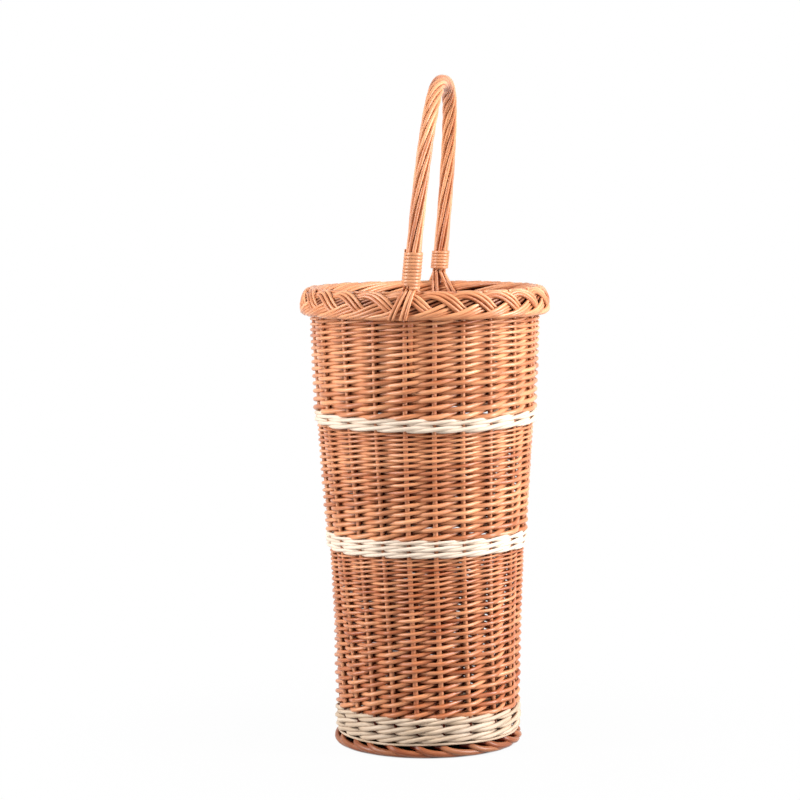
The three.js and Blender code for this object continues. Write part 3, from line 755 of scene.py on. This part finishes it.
# %% Plaited border
PLAIT_STRANDS = 5
PLAIT_SETS = 23
PLAIT_RODS = 3
PLAIT_ROD = 4.0
PLAIT_TOP_TURN = math.radians(92)
PLAIT_BOTTOM_TURN = math.radians(-72)
PLAIT_POINTS = 180 * PLAIT_STRANDS
PLAIT_SKEW = 0.3
PLAIT_PROUD = 1.2
PLAIT_GAP = 0.1
PLAIT_DRIFT = 0.6
PLAIT_DRIFT_PACE = 0.6
PLAIT_SLOPE = 0.62
PLAIT_SWING = 0.82
PLAIT_CROSSING = 0.15
PLAIT_SINK = 2.0
PLAIT_GIRTH_WAVE = 0.08
PLAIT_GIRTH_PACE = 1.7
PLAIT_TINT = 0.52
PLAIT_TINT_STEP = 0.12
CORE_RODS = 6
CORE_ROD = 5.2
CORE_POINTS = 180
CORE_TWISTS = 4
CORE_INSET = 1
CORE_HALF_WIDTH = 3
CORE_HALF_HEIGHT = 6
CORE_TINTS = (0.1, 0.4)
RIM_TAILS = 48
RIM_TAIL_POINTS = 40
RIM_TAIL_START = 97
RIM_TAIL_TURN = 149
RIM_TAIL_EASE = 1.3
RIM_TAIL_PROUD = 0.9
RIM_TAIL_SINK = 1.4
RIM_TAIL_TAPER = 0.3
RIM_TAIL_SHIFTS = (-0.2, 0.2)
RIM_TAIL_LENGTHS = (56, 68)
RIM_TAIL_GIRTHS = (0.9, 1.1)
RIM_TAIL_TINTS = (0.32, 0.77)
# Painted shade below the rim's skin.
RIM_PAINTED_SHADE_START = 0.86
RIM_PAINTED_SHADE_DEPTH = 0.3
BORDER_REACH = reach("plaited_border")
BORDER_HALF_WIDTH = 11.0
BORDER_HALF_HEIGHT = (BORDER_TOP - BORDER_BOTTOM) / 2
BORDER_CENTRE_RADIUS = BORDER_REACH - BORDER_HALF_WIDTH
BORDER_CENTRE_HEIGHT = (BORDER_TOP + BORDER_BOTTOM) / 2
BORDER_SQUARENESS = 2.0
BORDER_LEAN = 6.0


def bulge(value, squareness):
    """Sine or cosine of a superellipse: 2 gives a circle, and more gives fuller corners."""
    return np.sign(value) * np.abs(value) ** (2 / squareness)


def border_section(turn, inset):
    """Radius and height on the rim's rounded section, which droops outwards, a distance below its skin."""
    radius = BORDER_CENTRE_RADIUS + (BORDER_HALF_WIDTH - inset) * bulge(np.cos(turn), BORDER_SQUARENESS)
    height = BORDER_CENTRE_HEIGHT + (BORDER_HALF_HEIGHT - inset) * bulge(np.sin(turn), BORDER_SQUARENESS)
    return radius, height - BORDER_LEAN * np.clip(np.cos(turn), 0, 1) ** 2


def plait_rod(lane):
    """One rod of the closed plait: it goes round the rim once for each strand."""
    lead = PLAIT_SETS / PLAIT_STRANDS
    angle = 2 * np.pi * PLAIT_STRANDS * np.arange(PLAIT_POINTS) / PLAIT_POINTS
    wave = lead * angle - PLAIT_SKEW * np.sin(lead * angle)
    drift = lane * (PLAIT_ROD + PLAIT_GAP) + PLAIT_DRIFT * np.sin(PLAIT_DRIFT_PACE * angle + lane)
    slope = np.cos(wave) * (1 - PLAIT_SKEW * np.cos(lead * angle)) * PLAIT_SLOPE
    across = drift / np.sqrt(1 + slope ** 2)
    shifted = wave + lead * (-across * slope) / BORDER_REACH
    middle = (PLAIT_TOP_TURN + PLAIT_BOTTOM_TURN) / 2
    half = (PLAIT_TOP_TURN - PLAIT_BOTTOM_TURN) / 2
    section = middle + half * PLAIT_SWING * np.sin(wave) + across / BORDER_HALF_HEIGHT
    under = np.sin(2 * shifted)
    depth = under / np.sqrt(under ** 2 + PLAIT_CROSSING)
    inset = PLAIT_ROD / 2 - PLAIT_PROUD + PLAIT_SINK + PLAIT_SINK * depth
    radius, height = border_section(section, inset)
    points = round_points(radius, angle - across * slope / BORDER_REACH, height)
    girth = PLAIT_ROD / 2 * (1 + PLAIT_GIRTH_WAVE * np.sin(PLAIT_GIRTH_PACE * angle + 2 * lane))
    return Rod(points, girth, PLAIT_TINT + PLAIT_TINT_STEP * lane, closed=True)


def rim_core_rod(index):
    """Bent stake ends inside the rim, which stop daylight showing through the plait."""
    angle = 2 * np.pi * np.arange(CORE_POINTS) / CORE_POINTS
    turn = 2 * np.pi * index / CORE_RODS + CORE_TWISTS * angle
    radius = BORDER_CENTRE_RADIUS - CORE_INSET + CORE_HALF_WIDTH * np.cos(turn)
    height = BORDER_CENTRE_HEIGHT + CORE_HALF_HEIGHT * np.sin(turn)
    points = round_points(radius, angle, height)
    return Rod(points, np.full(CORE_POINTS, CORE_ROD / 2), dice.uniform(*CORE_TINTS), closed=True)


def rim_tail(index):
    """The tail of a set, along the crest of the rim and then down its inside."""
    start = 2 * math.pi * (index + dice.uniform(*RIM_TAIL_SHIFTS)) / RIM_TAILS
    share = np.linspace(0, 1, RIM_TAIL_POINTS)
    section = np.radians(RIM_TAIL_START + RIM_TAIL_TURN * share ** RIM_TAIL_EASE)
    radius, height = border_section(section, PLAIT_ROD / 2 - RIM_TAIL_PROUD + RIM_TAIL_SINK * share)
    angle = start + math.radians(dice.uniform(*RIM_TAIL_LENGTHS)) * share
    thickness = PLAIT_ROD * dice.uniform(*RIM_TAIL_GIRTHS)
    radii = thickness / 2 * (1 - RIM_TAIL_TAPER * share)
    return Rod(round_points(radius, angle, height), radii, dice.uniform(*RIM_TAIL_TINTS))


def rim_painted_shade(places, normals):
    """Painted shade, darker the deeper a rod lies below the rim's skin."""
    across = (np.hypot(places[:, 0], places[:, 1]) - BORDER_CENTRE_RADIUS) / BORDER_HALF_WIDTH
    lean = BORDER_LEAN * np.clip(across, 0, 1) ** 2
    up = (places[:, 2] + lean - BORDER_CENTRE_HEIGHT) / BORDER_HALF_HEIGHT
    squares = np.abs(across) ** BORDER_SQUARENESS + np.abs(up) ** BORDER_SQUARENESS
    skin = squares ** (1 / BORDER_SQUARENESS)
    return np.clip((RIM_PAINTED_SHADE_START - skin) / RIM_PAINTED_SHADE_DEPTH, 0, 1)


plait_rods = [plait_rod(number - (PLAIT_RODS - 1) / 2) for number in range(PLAIT_RODS)]
plait_rods += [rim_core_rod(index) for index in range(CORE_RODS)]
plait_rods += [rim_tail(index) for index in range(RIM_TAILS)]
lay_rods(
    "plaited_rim", plait_rods, buff_willow, ["plaited_border"], painted_shade=rim_painted_shade)

# %% [markdown]
# ## Handle
# The hoop is a bow pushed down into the wall, with eight thin rods roped round it. Their twist is slack at
# the feet and tight over the top. Below the bindings the rods fan out over the rim, four outside and four
# inside. The bow leans a little to the right, as in the picture, on the same rounded arch as the CAD bow.

# %% Handle lines
BOW_PROUD = 1.9
HANDLE_RADIUS = station_radii[-1] - WALL_THICKNESS / 2 + BOW_PROUD
HANDLE_RISE = 217.5
HANDLE_SQUARENESS = 2.8
HANDLE_LEAN = math.radians(5.7)
BOW_THICKNESS = 6.9
BOW_INSERT = 60
BOW_POINT = 0.4
BOW_POINTS = 90
BOW_TINT = 0.3
ARCH_POINTS = 2001
ARCH_STEP = 0.002
ROPING_RODS = 8
ROPING_ROD = 4.4
ROPING_CENTRE = 5.8
ROPING_TURNS = 2.75
ROPING_BUNCHING = 0.55
ROPING_POINTS = 420
ROPING_GIRTHS = (0.94, 1.05)
ROPING_TINTS = (0.24, 0.68)
TAPER_PLACES = (0, 0.07, 0.93, 1)
TAPER_GIRTHS = (0.72, 1, 1, 0.72)
FRONT = -1
BACK = 1
FRONT_SPLAY_RISE = 3
BACK_SPLAY_RISE = 11
OUTER_TAIL_ENDS = (-3.5, -8.5, -16.5, -21)
INNER_TAIL_ENDS = (-4, 2, 23, 30)
TAIL_TURNS = np.radians([66, 48, 30, 8, -15, -38])
TAIL_LIFT = 2.2
TAIL_SPACING = 2.5
ARCH_NORMAL = np.array([math.cos(HANDLE_LEAN), 0, -math.sin(HANDLE_LEAN)])

arch_turn = np.linspace(0, np.pi, ARCH_POINTS)
arch_rise = HANDLE_RISE * np.abs(np.sin(arch_turn)) ** (2 / HANDLE_SQUARENESS)
arch_line = np.stack([
    arch_rise * math.sin(HANDLE_LEAN),
    -HANDLE_RADIUS * bulge(np.cos(arch_turn), HANDLE_SQUARENESS),
    BORDER_TOP + arch_rise * math.cos(HANDLE_LEAN)], axis=-1)
arch_run = np.concatenate([[0], np.cumsum(np.linalg.norm(np.diff(arch_line, axis=0), axis=1))])
ARCH_LENGTH = arch_run[-1]


def on_arch(share):
    """Points of the bow's middle line, a share of the way from the front foot to the back foot."""
    return np.stack([np.interp(share * ARCH_LENGTH, arch_run, axis) for axis in arch_line.T], axis=-1)


def round_bow(share, distance, turn):
    """Points round the bow: turn 0 faces away from the hoop's middle."""
    ahead = on_arch(np.clip(share + ARCH_STEP, 0, 1)) - on_arch(np.clip(share - ARCH_STEP, 0, 1))
    outward = np.cross(ARCH_NORMAL, ahead)
    outward /= np.linalg.norm(outward, axis=-1, keepdims=True)
    sideways = np.sin(turn)[:, None] * ARCH_NORMAL
    return on_arch(share) + distance * (np.cos(turn)[:, None] * outward + sideways)


def handle_tail(turn, foot):
    """Points of a rod below its binding, over the rim, at the front or back foot."""
    side = 1 if math.cos(turn) > 0 else -1
    start = ROPING_CENTRE * math.sin(turn)
    limit = HANDLE_RADIUS + ROPING_CENTRE * math.cos(turn)
    ends = OUTER_TAIL_ENDS if side > 0 else INNER_TAIL_ENDS
    end = sorted(ends)[int(2 + 2 * math.sin(turn))]
    splay = BORDER_TOP + (FRONT_SPLAY_RISE if foot == FRONT else BACK_SPLAY_RISE)
    points = []
    for section in TAIL_TURNS:
        radius, height = border_section(section if side > 0 else math.pi - section, -TAIL_LIFT)
        fall = (splay - height) / (splay - BORDER_BOTTOM)
        across = start + (end - start) * fall
        point = round_points(radius, across / radius, height)
        if side * (radius - limit) > 0:
            points.append(point * (1, -foot, 1))
    return points


print("handle length in mm:", round(float(ARCH_LENGTH)))

# %% Handle rods
share = np.linspace(0, 1, ROPING_POINTS)
kept = (FRONT_SPLAY_RISE + (ARCH_LENGTH - FRONT_SPLAY_RISE - BACK_SPLAY_RISE) * share) / ARCH_LENGTH
roping_turn = 2 * np.pi * ROPING_TURNS * (share - ROPING_BUNCHING * np.sin(2 * np.pi * share) / (2 * np.pi))


def handle_rod(index):
    """One roped rod with its front and back tails."""
    lay = (index + 0.5) * 2 * math.pi / ROPING_RODS
    roped = round_bow(kept, ROPING_CENTRE, lay + roping_turn)
    front = handle_tail(lay, FRONT)[::-1]
    back = handle_tail(lay + roping_turn[-1], BACK)
    points = np.vstack([
        smooth_line([*front, *roped[:3]], TAIL_SPACING)[:-2],
        roped[2:-2],
        smooth_line([*roped[-3:], *back], TAIL_SPACING)[1:]])
    thickness = ROPING_ROD * dice.uniform(*ROPING_GIRTHS)
    taper = np.interp(np.linspace(0, 1, len(points)), TAPER_PLACES, TAPER_GIRTHS)
    return Rod(points, thickness / 2 * taper, dice.uniform(*ROPING_TINTS))


lay_rods(
    "handle_roping", [handle_rod(index) for index in range(ROPING_RODS)], buff_willow,
    [f"handle_rod_{index + 1}" for index in range(ROPING_RODS)], sides=12)

bow_heights = np.array([BORDER_BOTTOM - BOW_INSERT, BORDER_BOTTOM])
front_leg = round_points(wall_middle(bow_heights), 0, bow_heights)
back_leg = (front_leg * (1, -1, 1))[::-1]
bow_line = np.vstack([front_leg, on_arch(np.linspace(0, 1, BOW_POINTS)), back_leg])
bow_radii = np.full(len(bow_line), BOW_THICKNESS / 2)
bow_radii[[0, -1]] *= BOW_POINT
lay_rods(
    "handle_bow_rod", [Rod(bow_line, bow_radii, BOW_TINT)], buff_willow, ["handle_bow"])

# %% [markdown]
# ## Bindings
# A skein is a split, flattened willow strip. Wound tightly round each foot of the handle it keeps the rods
# on the bow. A round rod would look like wire here, so the curve is bevelled with a flat oval.

# %% Bindings
SKEIN_WIDTH = 3.3
SKEIN_THICKNESS = 1.9
SKEIN_SIDES = 12
SKEIN_SQUARENESS = 3
SKEIN_TINT = 0.6
LOOP_POINTS = 32
BINDING_RADIUS = ROPING_CENTRE + ROPING_ROD / 2 + SKEIN_THICKNESS / 2

oval_curve = bpy.data.curves.new("skein_oval", "CURVE")
oval_spline = oval_curve.splines.new("POLY")
oval_spline.points.add(SKEIN_SIDES - 1)
oval_spline.use_cyclic_u = True
for number, point in enumerate(oval_spline.points):
    turn = 2 * math.pi * number / SKEIN_SIDES
    across = bulge(math.cos(turn), SKEIN_SQUARENESS) * SKEIN_THICKNESS / 2
    point.co = (across, bulge(math.sin(turn), SKEIN_SQUARENESS) * SKEIN_WIDTH / 2, 0, 1)
skein_oval = bpy.data.objects.new("skein_oval", oval_curve)
bpy.context.scene.collection.objects.link(skein_oval)


def binding(name, node, rise, pitch, loops, foot):
    """A skein wound up the bow from a height above the rim, at the front or back foot."""
    step = np.arange(int(loops * LOOP_POINTS) + 1) / LOOP_POINTS
    climb = (rise + pitch * step) / ARCH_LENGTH
    share = climb if foot == FRONT else 1 - climb
    wound = round_bow(share, BINDING_RADIUS, -foot * 2 * np.pi * step)
    rod = Rod(wound, np.ones(len(wound)), SKEIN_TINT)
    lay_rods(name, [rod], skein_willow, [node], profile=skein_oval)


binding("front_skein", "front_binding", rise=4.5, pitch=3.45, loops=10.8, foot=FRONT)
binding("back_skein", "back_binding", rise=14.5, pitch=3.3, loops=5.8, foot=BACK)
bpy.data.objects.remove(skein_oval)

# %% [markdown]
# ## Floor, light and background
# The picture is a studio shot on white. The floor is pale and keeps a soft shadow; the background is plain
# white to the camera and only a mild sky to the object. Two tall soft lamps stand at the sides, the right
# one brighter, and a weak one fills from the front, so the middle of the basket is a little darker than its
# flanks. Under the stand itself the floor is painted near-black as painted shade, so that no white shows
# through the weave of the foot.

# %% Floor
FLOOR_RADIUS = 6.0
STAND_EDGE = (0.09, 0.098)
SHADOW_FADE = (0.13, 0.5)
SHADED_WHITE = 0.98
PAINTED_SHADE_UNDER_STAND = (0.03, 0.02, 0.01, 1)
FLOOR_GREY = (0.4, 0.4, 0.4, 1)
FLOOR_SEGMENTS = 96


def showing_rays(tree):
    """1 for the rays that show the white: straight to the camera, off a gloss or through glass."""
    paths = tree.nodes.new("ShaderNodeLightPath")
    straight = Shade(tree, paths.outputs["Is Camera Ray"])
    off_gloss = Shade(tree, paths.outputs["Is Glossy Ray"])
    through_glass = Shade(tree, paths.outputs["Is Transmission Ray"])
    return straight.math("MINIMUM", straight + off_gloss + through_glass, 1.0)


floor_mesh = bpy.data.meshes.new("studio_floor")
floor_form = bmesh.new()
bmesh.ops.create_circle(floor_form, cap_ends=True, radius=FLOOR_RADIUS, segments=FLOOR_SEGMENTS)
floor_form.to_mesh(floor_mesh)
floor_form.free()
floor = bpy.data.objects.new("studio_floor", floor_mesh)
bpy.context.scene.collection.objects.link(floor)
floor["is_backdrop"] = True

floor_finish = bpy.data.materials.new("studio_white")
floor_finish.use_nodes = True
floor_finish.node_tree.nodes.clear()
paint = Shade(floor_finish.node_tree)
seen = showing_rays(floor_finish.node_tree)
floor_place = paint.node("ShaderNodeTexCoord", output=3)
from_stand = paint.node("ShaderNodeVectorMath", {"operation": "LENGTH"}, {0: floor_place}, output=1)
outside = from_stand.between(*STAND_EDGE)
far = from_stand.between(*SHADOW_FADE)
# Painted shade: the floor under the stand is near-black.
dark = paint.node("ShaderNodeBsdfDiffuse", {}, {"Color": PAINTED_SHADE_UNDER_STAND})
pale = paint.node("ShaderNodeBsdfDiffuse", {}, {"Color": FLOOR_GREY})
matt = paint.node("ShaderNodeMixShader", {}, {0: outside, 1: dark, 2: pale})
glow = paint.node("ShaderNodeEmission", {}, {"Strength": 1.0})
white = seen * outside * (SHADED_WHITE + (1 - SHADED_WHITE) * far)
lit = paint.node("ShaderNodeMixShader", {}, {0: white, 1: matt, 2: glow})
paint.node("ShaderNodeOutputMaterial", {}, {"Surface": lit})
floor_mesh.materials.append(floor_finish)

# %% Lamps and background
SKY_STRENGTH = 0.04
SOFTBOX_AIM = (0, 0, 0.9)
SOFTBOX_SIZE = (0.5, 2.4)


def soft_lamp(name, place, aim, size, power):
    """An area lamp in metres and watts, turned towards a point of the stand."""
    lamp_data = bpy.data.lights.new(name, "AREA")
    lamp_data.shape = "RECTANGLE"
    lamp_data.size, lamp_data.size_y = size
    lamp_data.energy = power
    lamp = bpy.data.objects.new(name, lamp_data)
    lamp.location = place
    lamp.rotation_euler = (Vector(aim) - Vector(place)).to_track_quat("-Z", "Y").to_euler()
    bpy.context.scene.collection.objects.link(lamp)


soft_lamp("right_softbox", place=(1.81, -0.36, 1.25), aim=SOFTBOX_AIM, size=SOFTBOX_SIZE, power=110)
soft_lamp("left_softbox", place=(-1.57, -0.9, 1.25), aim=SOFTBOX_AIM, size=SOFTBOX_SIZE, power=71)
soft_lamp("front_fill", place=(0.2, -2.8, 1.4), aim=(0, 0, 0.4), size=(1.0, 1.0), power=3)

world = bpy.data.worlds.new("studio_background")
world.use_nodes = True
world.node_tree.nodes.clear()
sky = Shade(world.node_tree)
strength = SKY_STRENGTH + (1 - SKY_STRENGTH) * showing_rays(world.node_tree)
background = sky.node("ShaderNodeBackground", {}, {"Color": (1, 1, 1, 1), "Strength": strength})
sky.node("ShaderNodeOutputWorld", {}, {"Surface": background})
bpy.context.scene.world = world
bpy.context.scene.view_settings.view_transform = "Standard"

# %% Size and finish
sizes = {"cad": [list(corner) for corner in CAD_BOX], "visual": [list(corner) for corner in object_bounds()]}
print("visual size in mm:", [round((high - low) / MM, 1) for low, high in zip(*sizes["visual"])])
